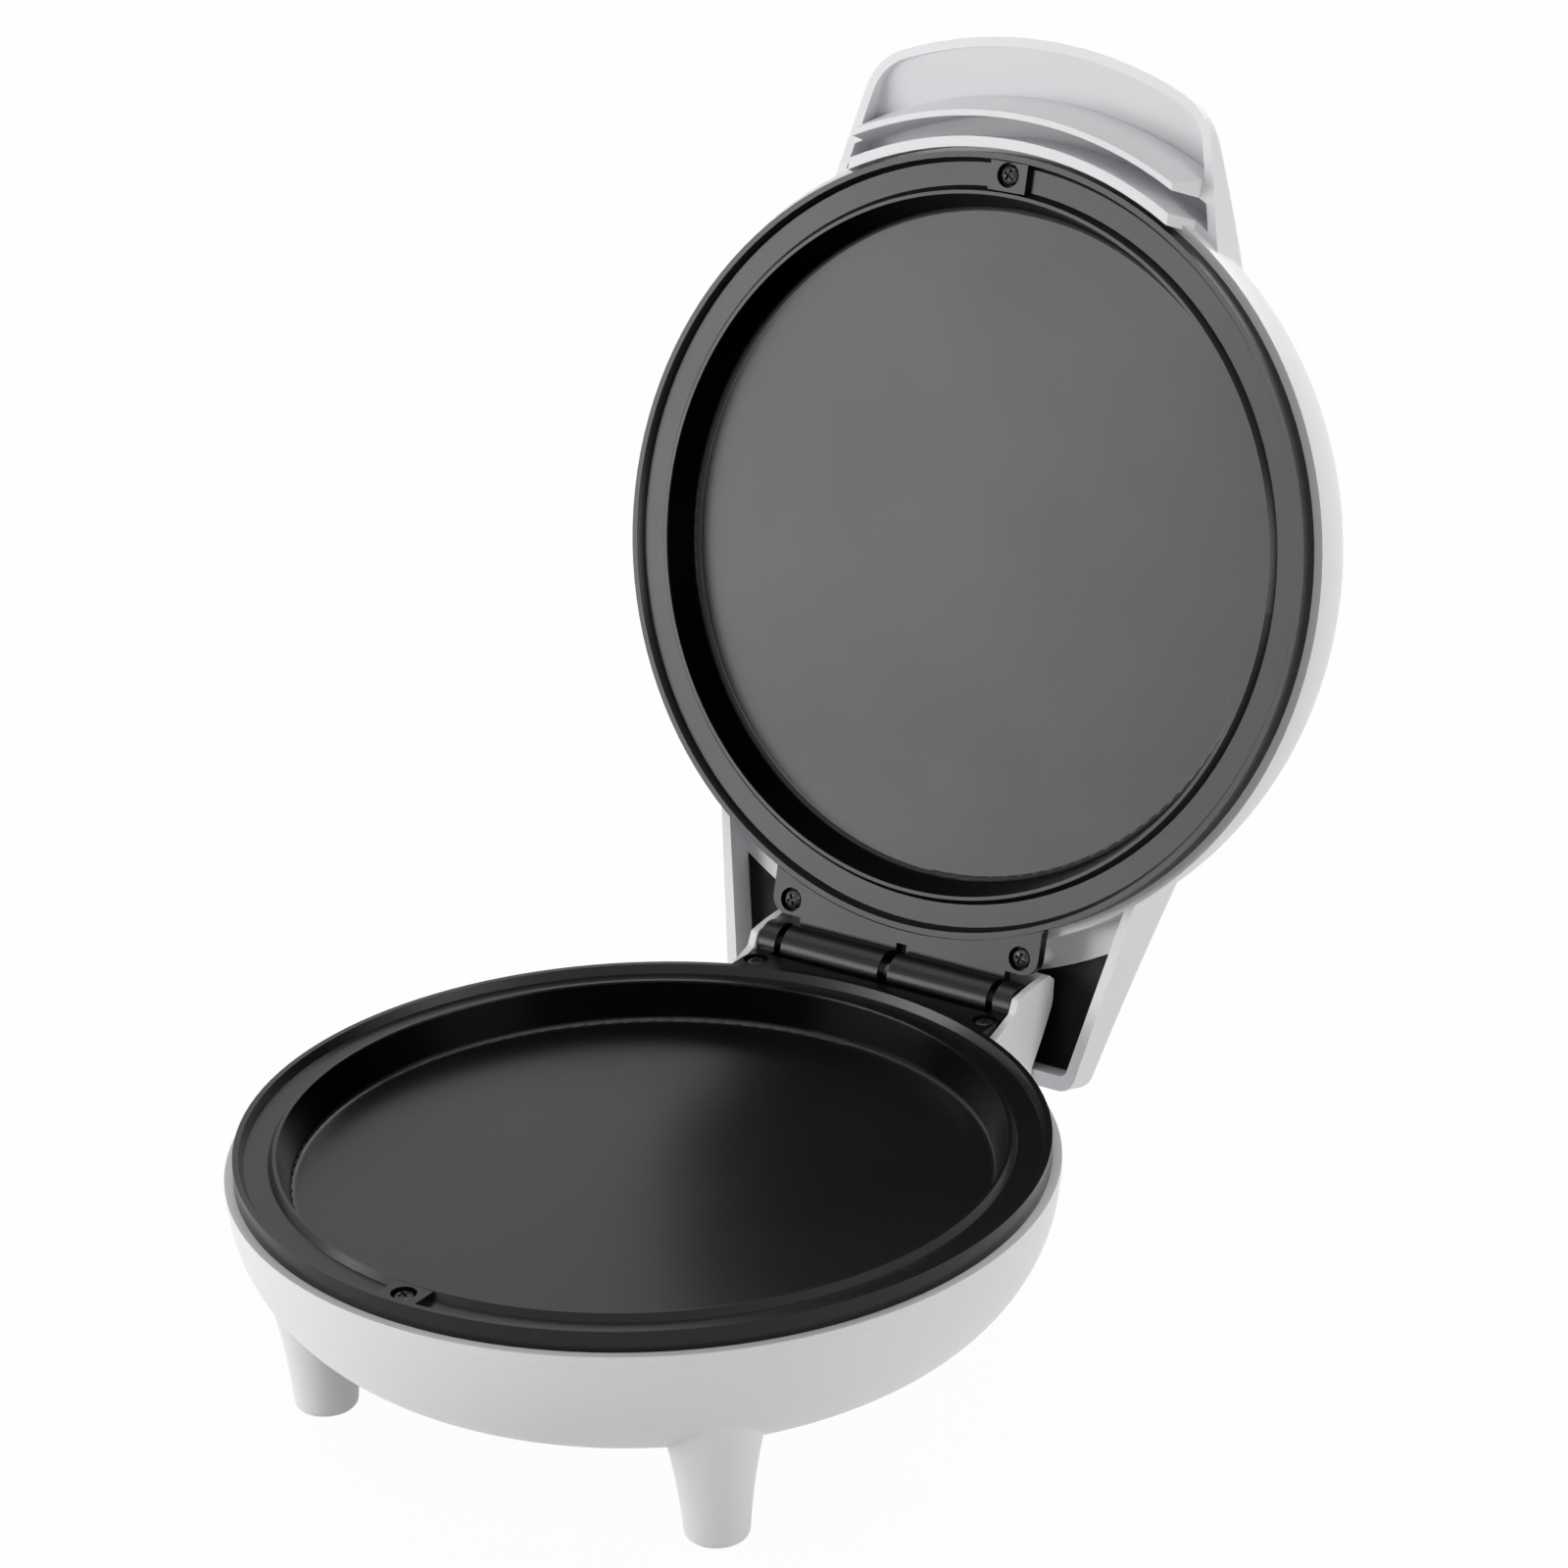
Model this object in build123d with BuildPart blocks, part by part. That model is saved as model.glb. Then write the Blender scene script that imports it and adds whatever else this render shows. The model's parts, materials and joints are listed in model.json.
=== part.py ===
from build123d import *
import os
from math import asin, atan2, cos, degrees, radians, sin, sqrt

# Electric pizza maker with its lid laid back on its stop.
# Lengths are in millimetres and angles in degrees.
# Both halves are described in a frame of their own: x across, y towards the hinge,
# and z from the rim plane into the half, so the same words fit the base and the lid.

# Opening of the lid
open_angle = 106.0
hinge_reach = 12.5
hinge_drop = 1.0
rim_gap = 0.3

# Cooking plate, alike in both halves
plate_radius = 110.0
plate_wall = 2.4
rim_land = 1.6
channel_slope = 1.3
channel_width = 6.4
channel_depth = 2.4
lip_slope = 1.4
lip_land = 1.0
lip_drop = 0.5
pan_slope = 3.5
pan_depth = 11.1
pan_corner = 2.0
pan_outer_corner = 3.0
skirt_height = 6.0

# Screw pad at the front of the plate, and the ear at its back
pad_half_width = 6.0
pad_length = 8.2
pad_drop = 0.4
front_screw_inset = 5.6
ear_half_width = 44.8
ear_drop = 1.0
ear_thickness = 3.2
ear_groove_width = 0.6
ear_groove_depth = 0.8
ear_corner = 5.0
ear_to_barrel = 8.2
ear_boss_radius = 4.3
ear_boss_depth = 1.2
ear_screw_half_pitch = 38.7
ear_screw_to_hinge = 12.6

# Screws that hold the plates
screw_head_radius = 2.9
screw_head_height = 1.9
screw_head_bevel = 0.7
screw_shank_radius = 1.5
screw_length = 9.0
recess_radius = 3.5
recess_depth = 2.2
screw_hole_radius = 1.7
thread_clearance = 0.05
thread_room = 1.0

# Hinge
barrel_radius = 6.2
pin_radius = 2.5
pin_clearance = 0.05
pin_press_clearance = 0.02
middle_slit = 3.4
lid_knuckle_length = 33.0
knuckle_gap = 2.3
base_knuckle_length = 5.5
pin_end_inset = 0.3

# Moulded shells, with one dome profile for both halves
shell_wall = 2.4
shell_depth = 50.0
shell_overhang = 2.2
band_height = 3.0
band_proud = 0.3
band_step = 0.3
shoulder_start = 2.0
seat_width = 2.6
boss_radius = 3.1
boss_web = 1.6
base_column_end = 21.0
column_web_length = 11.0

# Legs and feet
leg_length = 23.0
leg_top_radius = 15.0
leg_waist_radius = 10.7
leg_waist_level = 54.0
leg_foot_radius = 8.8
leg_foot_corner = 2.5
front_leg_x = 64.8
front_leg_y = -61.0
rear_leg_x = 42.0
rear_leg_y = 92.0
foot_pad_radius = 5.6
foot_pad_height = 3.0
foot_pad_proud = 0.8
foot_pad_bevel = 0.5
foot_pad_clearance = 0.05
leg_top_level = 10.0
leg_neck_level = 34.0
leg_core_level = 30.0
leg_set_in = 0.4
leg_core_slope = 2.0
leg_core_end = 8.0

# Hinge housing behind the bowl
housing_wall = 2.2
cheek_clearance = 0.6
ear_clearance = 0.4
pocket_top = 12.0
root_drop = 1.0
seam_inset = 14.0
cheek_foot_inset = 7.5
cheek_foot_run = 2.0
cheek_foot_rise = 2.0

# Side view of the housing: y runs back from the hinge axis and z down from it
housing_root = 42.5
housing_floor = 37.5
housing_back = 13.5
ramp_end_y = -7.2
ramp_end_z = -0.6
cheek_front_y = -5.2
cheek_front_z = -4.5
cheek_top_y = 1.5
cheek_top_z = -5.3
cheek_crest_y = 11.0
cheek_crest_z = -5.8
cheek_corner_z = -3.6
back_bulge_inset = 1.0
back_bulge_z = 3.5
tuck_y = 7.5
tuck_z = 11.0
waist_y = 1.4
waist_z = 19.2
wall_top_y = 0.3
wall_top_z = 23.8
gland_face = -3.8
gland_face_z = 26.0

# Handle scooped out of the front of the lid
handle_reach = 31.8
handle_front_fall = 12.3
handle_half_width = 54.3
handle_root_inset = 28.0
handle_flare = 0.24
handle_corner = 17.0
handle_edge_level = 10.5
handle_lip_height = 2.0
handle_middle_reach = 17.0
handle_middle_rise = 6.8
handle_root_rise = 19.2
handle_crown_radius = 380.0
handle_crown_angle = 12.0
handle_wall = 2.6
handle_roof_fillet = 1.8
inner_rib_start = 1.3
inner_rib_width = 2.9
finger_groove_width = 5.6
outer_rib_width = 1.7
outer_rib_lean = 4.0
rib_root_level = 16.0
rib_half_width = 52.0
rib_end_slope = 3.0

# Tail of the lid, which closes the back of the hinge
tail_half_width = 58.2
tail_flare = 0.206
tail_reach = 22.6
tail_edge_level = 6.0
tail_roof_level = 18.4
tail_middle_reach = 34.0
tail_middle_rise = 5.1
tail_root_rise = 14.6
tail_corner = 5.0
tail_roof_fillet = 4.0
tail_wall = 2.5
tail_end_wall = 4.2
shelf_level = 14.5
shelf_past_screws = 10.8
tail_root_inset = 40.0
wire_hole_radius = 1.7
wire_hole_reach = 4.8
wire_hole_length = 12.0
cover_thickness = 1.6
cover_clearance = 0.25
cover_ledge = 1.6

# Heating elements, their saddles and the reflectors
element_radius = 3.25
element_inset = 23.0
element_bend_radius = 12.0
element_end_half_pitch = 13.0
element_end_reach = 21.0
element_clearance = 0.05
saddle_clearance = 0.3
pin_terminal_radius = 1.2
pin_terminal_length = 7.0
saddle_thickness = 1.2
saddle_foot = 6.0
saddle_width = 10.0
reflector_thickness = 0.8
reflector_gap = 0.95
reflector_radius = 84.0
reflector_rim = 6.0
reflector_hole_radius = 13.0
post_radius = 3.5
post_ring_inset = 24.0

# Control and safety parts on the pans
thermostat_radius = 8.0
thermostat_height = 10.0
cutout_radius = 6.0
cutout_height = 8.0
cap_height = 3.5
capsule_step = 0.8
blade_width = 6.3
blade_thickness = 0.8
blade_length = 6.0
fuse_radius = 2.2
fuse_length = 12.0
fuse_lead_radius = 0.5
fuse_seat = 0.2
fuse_x = 34.0
fuse_y = 12.0

# Mains entry
gland_level = 34.0
gland_bore_radius = 3.2
gland_throat_length = 2.0
gland_relief_radius = 3.6
gland_body_radius = 4.6
gland_collar_radius = 6.2
gland_collar_thickness = 2.6
gland_bevel = 1.2
gland_lip_length = 3.0
gland_clearance = 0.1
terminal_block_length = 30.0
terminal_block_width = 12.0
terminal_block_height = 11.0
terminal_block_y = 52.0
terminal_corner = 2.0
terminal_screw_radius = 2.0

# Indicator lights on the dome
lens_radius = 4.0
lens_flange_radius = 5.2
lens_flange_height = 1.2
lens_bevel = 0.8
lens_body_length = 4.8
lens_half_pitch = 9.0
lens_inset = 12.2
lens_clearance = 0.15
lamp_radius = 2.6
lamp_length = 11.0
lamp_bevel = 1.3
holder_wall = 2.0
holder_height = 14.0

# Places that follow from the sizes above
hinge_y = plate_radius + hinge_reach
shell_radius = plate_radius + shell_overhang
shoulder_level = skirt_height + shoulder_start
shoulder_radius = shell_depth - shoulder_level
shoulder_centre = shell_radius - shoulder_radius
rim_inner = plate_radius - rim_land
channel_outer = rim_inner - channel_slope
channel_inner = channel_outer - channel_width
lip_outer = channel_inner - lip_slope
lip_inner = lip_outer - lip_land
pan_floor_radius = lip_inner - pan_slope
pan_underside = pan_depth + plate_wall
channel_underside = channel_depth + plate_wall
channel_middle = (channel_outer + channel_inner) / 2
front_screw_y = front_screw_inset - plate_radius
ear_screw_y = hinge_y - ear_screw_to_hinge
ear_edge_y = hinge_y - ear_to_barrel
ear_back_level = ear_drop + ear_thickness
ear_boss_level = ear_back_level + ear_boss_depth
screw_places = (
    (0, front_screw_y, pad_drop),
    (-ear_screw_half_pitch, ear_screw_y, ear_drop),
    (ear_screw_half_pitch, ear_screw_y, ear_drop),
)
lid_knuckle_start = middle_slit / 2
lid_knuckle_end = lid_knuckle_start + lid_knuckle_length
base_knuckle_start = lid_knuckle_end + knuckle_gap
base_knuckle_end = base_knuckle_start + base_knuckle_length
cheek_inner = base_knuckle_end + cheek_clearance
cheek_outer = cheek_inner + housing_wall
foot_level = shell_depth + leg_length
stand_height = foot_level + foot_pad_proud
element_ring = pan_floor_radius - element_inset
element_level = pan_underside + element_radius + element_clearance
reflector_level = element_level + element_radius + reflector_gap + reflector_rim
post_ring = reflector_radius - post_ring_inset

# The lid's frame is the closed one turned about the hinge
turn = radians(open_angle)
lid_hinge_height = hinge_drop + rim_gap
lid_back = (
    hinge_y
    + (shoulder_centre + hinge_y) * -cos(turn)
    + (shoulder_level + lid_hinge_height) * sin(turn)
    + shoulder_radius
)
base_front = -(shell_radius + band_proud)
middle_y = (lid_back + base_front) / 2

base = Plane(origin=(0, -middle_y, stand_height), x_dir=(-1, 0, 0), z_dir=(0, 0, -1))
hinge_point = base.from_local_coords((0, hinge_y, hinge_drop))
lid_out = Vector(0, cos(turn), -sin(turn))
lid_in = Vector(0, sin(turn), cos(turn))
lid_origin = hinge_point - lid_out * hinge_y + lid_in * lid_hinge_height
lid = Plane(origin=lid_origin, x_dir=(1, 0, 0), z_dir=lid_in)


def middle(half):
    """The axis through the middle of a half."""
    return Axis(half.origin, half.z_dir)


def radial(half, angle=0):
    """A plane through the middle of a half: its x runs outwards and its y into the half."""
    outwards = half.x_dir * cos(radians(angle)) + half.y_dir * sin(radians(angle))
    return Plane(origin=half.origin, x_dir=outwards, z_dir=outwards.cross(half.z_dir))


def across(half, x=0):
    """A plane square to the hinge at x: its x runs towards the hinge and its y into the half."""
    return Plane(origin=half.origin + half.x_dir * x, x_dir=half.y_dir, z_dir=half.x_dir)


def upright(half, x, y):
    """A radial plane of something round that stands at x, y in a half."""
    return Plane(origin=half.from_local_coords((x, y, 0)), x_dir=half.x_dir, z_dir=-half.y_dir)


def facing_out(half):
    """The rim plane seen from outside, for holes that are drilled into a half."""
    return Plane(origin=half.origin, x_dir=-half.x_dir, z_dir=-half.z_dir)


def pan_wall_at(level):
    """Inner radius of the pan's sloping wall at a level."""
    return lip_inner - pan_slope * (level - lip_drop) / (pan_depth - lip_drop)


def shoulder_radius_at(level, inset=0):
    """Radius of the dome at a level, or of the surface that lies inset within it."""
    return shoulder_centre + sqrt((shoulder_radius - inset) ** 2 - (level - shoulder_level) ** 2)


def plate_body(half, first, last, hinge_level, bore_radius, half_width):
    """A cooking plate: pan, lip, drip channel and skirt, with its screw pad, ear and knuckles.

    The knuckles run from first to last on each side, round an axis at hinge_level."""
    with BuildPart(facing_out(half)) as plate:
        with BuildSketch(radial(half)):
            with BuildLine():
                FilletPolyline(
                    (0, pan_depth),
                    (pan_floor_radius, pan_depth),
                    (lip_inner, lip_drop),
                    (lip_outer, lip_drop),
                    (channel_inner, channel_depth),
                    (channel_outer, channel_depth),
                    (rim_inner, 0),
                    (plate_radius, 0),
                    (plate_radius, skirt_height),
                    (plate_radius - plate_wall, skirt_height),
                    (plate_radius - plate_wall, channel_underside),
                    (pan_wall_at(channel_underside) + plate_wall, channel_underside),
                    (pan_wall_at(pan_underside) + plate_wall, pan_underside),
                    (0, pan_underside),
                    radius=(pan_corner, 0, 0, 0, 0, 0, 0, 0, 0, 0, 0, pan_outer_corner),
                )
                Line((0, pan_underside), (0, pan_depth))
            make_face()
        revolve(axis=middle(half))

        # Pad that carries the front screw across the drip channel
        with BuildSketch(half.offset(pad_drop)):
            with Locations((0, -channel_middle)):
                Rectangle(2 * pad_half_width, pad_length)
        extrude(amount=channel_underside - pad_drop)

        # Ear between the rim and the hinge, set below the rim behind a fine groove,
        # with a thicker spot under each screw
        with BuildSketch(half.offset(ear_drop)):
            with BuildLine():
                FilletPolyline(
                    (-half_width, 0),
                    (-half_width, ear_edge_y),
                    (half_width, ear_edge_y),
                    (half_width, 0),
                    radius=ear_corner,
                    close=False,
                )
                Line((half_width, 0), (-half_width, 0))
            make_face()
            Circle(plate_radius - plate_wall / 2, mode=Mode.SUBTRACT)
        extrude(amount=ear_thickness)
        with BuildSketch(half.offset(ear_drop)):
            Circle(plate_radius + ear_groove_width)
            Circle(plate_radius, mode=Mode.SUBTRACT)
        extrude(amount=ear_groove_depth, mode=Mode.SUBTRACT)
        with BuildSketch(half.offset(ear_back_level)):
            with Locations((-ear_screw_half_pitch, ear_screw_y), (ear_screw_half_pitch, ear_screw_y)):
                Circle(ear_boss_radius)
        extrude(amount=ear_boss_depth)

        # Knuckles, joined to the ear by a web as thick as the ear
        for start in (first, -last):
            with BuildSketch(across(half, start)):
                with Locations((hinge_y, hinge_level)):
                    Circle(barrel_radius)
                with Locations((ear_edge_y - plate_wall, ear_drop)):
                    Rectangle(ear_to_barrel + plate_wall, ear_thickness, align=Align.MIN)
            extrude(amount=last - first)
        with BuildSketch(across(half, -last)):
            with Locations((hinge_y, hinge_level)):
                Circle(bore_radius)
        extrude(amount=2 * last, mode=Mode.SUBTRACT)

        # Recessed screw holes
        with Locations([(x, y, -top) for x, y, top in screw_places]):
            CounterBoreHole(screw_hole_radius, recess_radius, recess_depth)
    return plate


def plate_screws(half):
    """The three screws of a plate, seated in their recesses."""
    with BuildPart() as screws:
        for x, y, top in screw_places:
            seat = top + recess_depth
            with BuildSketch(upright(half, x, y)):
                with BuildLine():
                    Polyline(
                        (0, seat - screw_head_height),
                        (screw_head_radius - screw_head_bevel, seat - screw_head_height),
                        (screw_head_radius, seat - screw_head_height + screw_head_bevel),
                        (screw_head_radius, seat),
                        (screw_shank_radius, seat),
                        (screw_shank_radius, seat + screw_length - screw_shank_radius),
                        (0, seat + screw_length),
                        close=True,
                    )
                make_face()
            revolve(axis=Axis(half.from_local_coords((x, y, 0)), half.z_dir))
    return screws


def dome(half):
    """The solid outside of a shell: a plain band, a fine step, a round shoulder and a flat end."""
    band_end = skirt_height + band_height
    step_end = band_end + band_step
    first_angle = degrees(asin((step_end - shoulder_level) / shoulder_radius))
    with BuildPart() as outside:
        with BuildSketch(radial(half)):
            with BuildLine():
                Polyline(
                    (shoulder_centre, shell_depth),
                    (0, shell_depth),
                    (0, skirt_height),
                    (shell_radius + band_proud, skirt_height),
                    (shell_radius + band_proud, band_end),
                    (shoulder_radius_at(step_end), step_end),
                )
                CenterArc(
                    (shoulder_centre, shoulder_level), shoulder_radius, first_angle, 90 - first_angle
                )
            make_face()
        revolve(axis=middle(half))
    return outside.part


def hollow(half, post_angle):
    """The space inside a shell, less the front screw's boss and the three reflector posts."""
    inner_radius = shoulder_radius - shell_wall
    seat_end = skirt_height + shell_wall
    first_angle = degrees(asin((seat_end - shoulder_level) / inner_radius))
    with BuildPart() as space:
        with BuildSketch(radial(half)):
            with BuildLine():
                Polyline(
                    (shoulder_centre, shell_depth - shell_wall),
                    (0, shell_depth - shell_wall),
                    (0, skirt_height),
                    (plate_radius - seat_width, skirt_height),
                    (plate_radius - seat_width, seat_end),
                    (shoulder_radius_at(seat_end, shell_wall), seat_end),
                )
                CenterArc((shoulder_centre, shoulder_level), inner_radius, first_angle, 90 - first_angle)
            make_face()
        revolve(axis=middle(half))
        with BuildSketch(half.offset(skirt_height)):
            with Locations((0, front_screw_y)):
                Circle(boss_radius)
                Rectangle(boss_web, 2 * front_screw_inset, align=(Align.CENTER, Align.MAX))
        extrude(amount=shell_depth, mode=Mode.SUBTRACT)
        with BuildSketch(half.offset(reflector_level)):
            with PolarLocations(post_ring, 3, start_angle=post_angle):
                Circle(post_radius)
        extrude(amount=shell_depth, mode=Mode.SUBTRACT)
    return space.part


def leg(x, y):
    """A leg: straight where it leaves the bowl, waisted below, and kept within the bowl's radius."""
    bend_end = foot_level - leg_foot_corner
    with BuildPart() as post:
        with BuildSketch(upright(base, x, y)):
            with BuildLine():
                Polyline(
                    (0, foot_level),
                    (0, leg_top_level),
                    (leg_top_radius, leg_top_level),
                    (leg_top_radius, leg_neck_level),
                )
                ThreePointArc(
                    (leg_top_radius, leg_neck_level),
                    (leg_waist_radius, leg_waist_level),
                    (leg_foot_radius, bend_end),
                )
                CenterArc((leg_foot_radius - leg_foot_corner, bend_end), leg_foot_corner, 0, 90)
                Line((leg_foot_radius - leg_foot_corner, foot_level), (0, foot_level))
            make_face()
        revolve(axis=Axis(base.from_local_coords((x, y, 0)), base.z_dir))
        with BuildSketch(base):
            Circle(shell_radius - leg_set_in)
        extrude(amount=foot_level, mode=Mode.INTERSECT)
    return post.part


def leg_core(x, y):
    """The tapered space that the mould leaves inside a leg."""
    core_radius = leg_waist_radius - shell_wall
    core_end = foot_level - leg_core_end
    with BuildPart() as space:
        with BuildSketch(upright(base, x, y)):
            with BuildLine():
                Polyline(
                    (0, leg_core_level),
                    (core_radius, leg_core_level),
                    (core_radius - leg_core_slope, core_end),
                    (0, core_end),
                    close=True,
                )
            make_face()
        revolve(axis=Axis(base.from_local_coords((x, y, 0)), base.z_dir))
    return space.part


def housing_outline():
    """The side view of the hinge housing, drawn from inside the bowl round the hinge's back.

    Its top clears the lid's ear, and its back clears the end of the lid's tail."""
    foot_y = plate_radius - cheek_foot_inset
    FilletPolyline(
        (hinge_y - housing_root, hinge_drop + housing_floor + root_drop),
        (plate_radius - seam_inset, skirt_height + root_drop),
        (foot_y, skirt_height),
        (foot_y + cheek_foot_run, skirt_height - cheek_foot_rise),
        (hinge_y + ramp_end_y, hinge_drop + ramp_end_z),
        (hinge_y + cheek_front_y, hinge_drop + cheek_front_z),
        (hinge_y + cheek_top_y, hinge_drop + cheek_top_z),
        (hinge_y + cheek_crest_y, hinge_drop + cheek_crest_z),
        (hinge_y + housing_back, hinge_drop + cheek_corner_z),
        (hinge_y + housing_back - back_bulge_inset, hinge_drop + back_bulge_z),
        (hinge_y + tuck_y, hinge_drop + tuck_z),
        (hinge_y + waist_y, hinge_drop + waist_z),
        (hinge_y + wall_top_y, hinge_drop + wall_top_z),
        (hinge_y + gland_face, hinge_drop + gland_face_z),
        (hinge_y + gland_face, hinge_drop + housing_floor),
        radius=(0, 0, 0, 0, 1, 1, 8, 1.2, 1, 8, 12, 0, 3, 1, 3),
        close=True,
    )


def ear_columns(half, end):
    """Two screw columns under the ear, each tied by a web to the shell in front of it."""
    with BuildPart() as columns:
        for side in (-1, 1):
            with BuildSketch(half.offset(ear_boss_level)):
                with Locations((side * ear_screw_half_pitch, ear_screw_y)):
                    Circle(boss_radius)
            extrude(amount=end - ear_boss_level)
            with BuildSketch(half.offset(skirt_height)):
                with Locations((side * ear_screw_half_pitch, ear_screw_y)):
                    Rectangle(boss_web, column_web_length, align=(Align.CENTER, Align.MAX))
            extrude(amount=end - skirt_height)
    return columns.part


def screw_holes(half):
    """The holes that the three screws cut their thread in."""
    with BuildPart() as holes:
        for x, y, top in screw_places:
            with BuildSketch(half.offset(top + recess_depth)):
                with Locations((x, y)):
                    Circle(screw_shank_radius + thread_clearance)
            extrude(amount=screw_length + thread_room)
    return holes.part


def front_boss(half):
    """The end of the front screw's boss, which stands up to the underside of the drip channel."""
    with BuildPart() as end:
        with BuildSketch(half.offset(channel_underside)):
            with Locations((0, front_screw_y)):
                Circle(boss_radius)
        extrude(amount=shell_wall)
    return end.part


leg_places = [
    (side * x, y) for side in (-1, 1) for x, y in ((front_leg_x, front_leg_y), (rear_leg_x, rear_leg_y))
]
base_dome = dome(base)
base_hollow = hollow(base, -90)
base_columns = ear_columns(base, base_column_end)

# Space between the cheeks of the housing, open at the top round the knuckles
with BuildPart() as pocket:
    with BuildSketch(across(base, -cheek_inner)):
        with BuildLine():
            housing_outline()
        make_face()
        offset(amount=-housing_wall)
        with Locations((hinge_y - housing_root, -pocket_top)):
            Rectangle(
                housing_root + housing_back - housing_wall,
                pocket_top + skirt_height,
                align=Align.MIN,
            )
            Rectangle(
                housing_root + gland_face - housing_wall,
                pocket_top + hinge_drop + housing_floor - housing_wall,
                align=Align.MIN,
            )
    extrude(amount=2 * cheek_inner)
    add(base_dome, mode=Mode.SUBTRACT)
    add(base_columns, mode=Mode.SUBTRACT)

# Bowl with its legs and the housing that the lid's knuckles turn in
with BuildPart() as base_shell:
    add(base_dome)
    with BuildSketch(across(base, -cheek_outer)):
        with BuildLine():
            housing_outline()
        make_face()
    extrude(amount=2 * cheek_outer)
    add(pocket.part, mode=Mode.SUBTRACT)
    for x, y in leg_places:
        add(leg(x, y))
    add(base_hollow, mode=Mode.SUBTRACT)
    for x, y in leg_places:
        add(leg_core(x, y), mode=Mode.SUBTRACT)
        with BuildSketch(base.offset(foot_level)):
            with Locations((x, y)):
                Circle(foot_pad_radius + foot_pad_clearance)
        extrude(amount=foot_pad_proud - foot_pad_height, mode=Mode.SUBTRACT)
    add(front_boss(base))
    add(screw_holes(base), mode=Mode.SUBTRACT)
    with BuildSketch(Plane(origin=base.from_local_coords((0, hinge_y, gland_level)), z_dir=-base.y_dir)):
        Circle(gland_body_radius + gland_clearance)
    extrude(amount=housing_root, mode=Mode.SUBTRACT)


# Rubber feet, plugged into the ends of the legs
with BuildPart() as foot_pads:
    for x, y in leg_places:
        with BuildSketch(base.offset(stand_height - foot_pad_height)):
            with Locations((x, y)):
                Circle(foot_pad_radius)
        extrude(amount=foot_pad_height)
    chamfer(foot_pads.edges().group_by(Axis.Z)[0], foot_pad_bevel)

base_plate = plate_body(
    base,
    base_knuckle_start,
    base_knuckle_end,
    hinge_drop,
    pin_radius + pin_press_clearance,
    cheek_inner - ear_clearance,
)
base_plate_screws = plate_screws(base)

# Steel pin, pressed into the base's knuckles
with BuildPart() as hinge_pin:
    pin_end = base_knuckle_end - pin_end_inset
    with BuildSketch(across(base, -pin_end)):
        with Locations((hinge_y, hinge_drop)):
            Circle(pin_radius)
    extrude(amount=2 * pin_end)
    chamfer(hinge_pin.edges().filter_by(GeomType.CIRCLE), pin_end_inset)


def heating_element(half):
    """A sheathed tube bent into an open ring, with its two ends turned out towards the hinge."""
    bend_x = element_end_half_pitch + element_bend_radius
    bend_y = sqrt((element_ring + element_bend_radius) ** 2 - bend_x**2)
    meet_angle = degrees(atan2(bend_y, bend_x))
    tube_end = element_ring + element_end_reach
    with BuildPart() as element:
        with BuildLine(half.offset(element_level)) as route:
            Line((element_end_half_pitch, tube_end), (element_end_half_pitch, bend_y))
            CenterArc((bend_x, bend_y), element_bend_radius, 180, meet_angle)
            CenterArc((0, 0), element_ring, meet_angle, -180 - 2 * meet_angle)
            CenterArc((-bend_x, bend_y), element_bend_radius, -meet_angle, meet_angle)
            Line((-element_end_half_pitch, bend_y), (-element_end_half_pitch, tube_end))
        start = half.from_local_coords((element_end_half_pitch, tube_end, element_level))
        with BuildSketch(Plane(origin=start, z_dir=-half.y_dir)):
            Circle(element_radius)
        sweep(path=route.line)
        for side in (-1, 1):
            end = half.from_local_coords((side * element_end_half_pitch, tube_end, element_level))
            with BuildSketch(Plane(origin=end, z_dir=half.y_dir)):
                Circle(pin_terminal_radius)
            extrude(amount=pin_terminal_length)
    return element


def element_saddles(half):
    """Three bent strips that hold the tube against the pan, each with a foot on either side."""
    inside_radius = element_radius + saddle_clearance
    outside_radius = inside_radius + saddle_thickness
    with BuildPart() as saddles:
        for angle in (-90, 30, 150):
            with BuildSketch(radial(half, angle).offset(-saddle_width / 2)):
                with Locations((element_ring, pan_underside)):
                    Rectangle(
                        2 * (outside_radius + saddle_foot),
                        saddle_thickness,
                        align=(Align.CENTER, Align.MIN),
                    )
                    Rectangle(
                        2 * outside_radius,
                        element_level - pan_underside,
                        align=(Align.CENTER, Align.MIN),
                    )
                with Locations((element_ring, element_level)):
                    Circle(outside_radius)
                    Circle(inside_radius, mode=Mode.SUBTRACT)
                with Locations((element_ring, pan_underside)):
                    Rectangle(
                        2 * inside_radius,
                        element_level - pan_underside,
                        align=(Align.CENTER, Align.MIN),
                        mode=Mode.SUBTRACT,
                    )
                with Locations((element_ring, pan_underside)):
                    Rectangle(
                        2 * outside_radius,
                        2 * outside_radius,
                        align=(Align.CENTER, Align.MAX),
                        mode=Mode.SUBTRACT,
                    )
            extrude(amount=saddle_width)
    return saddles


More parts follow.
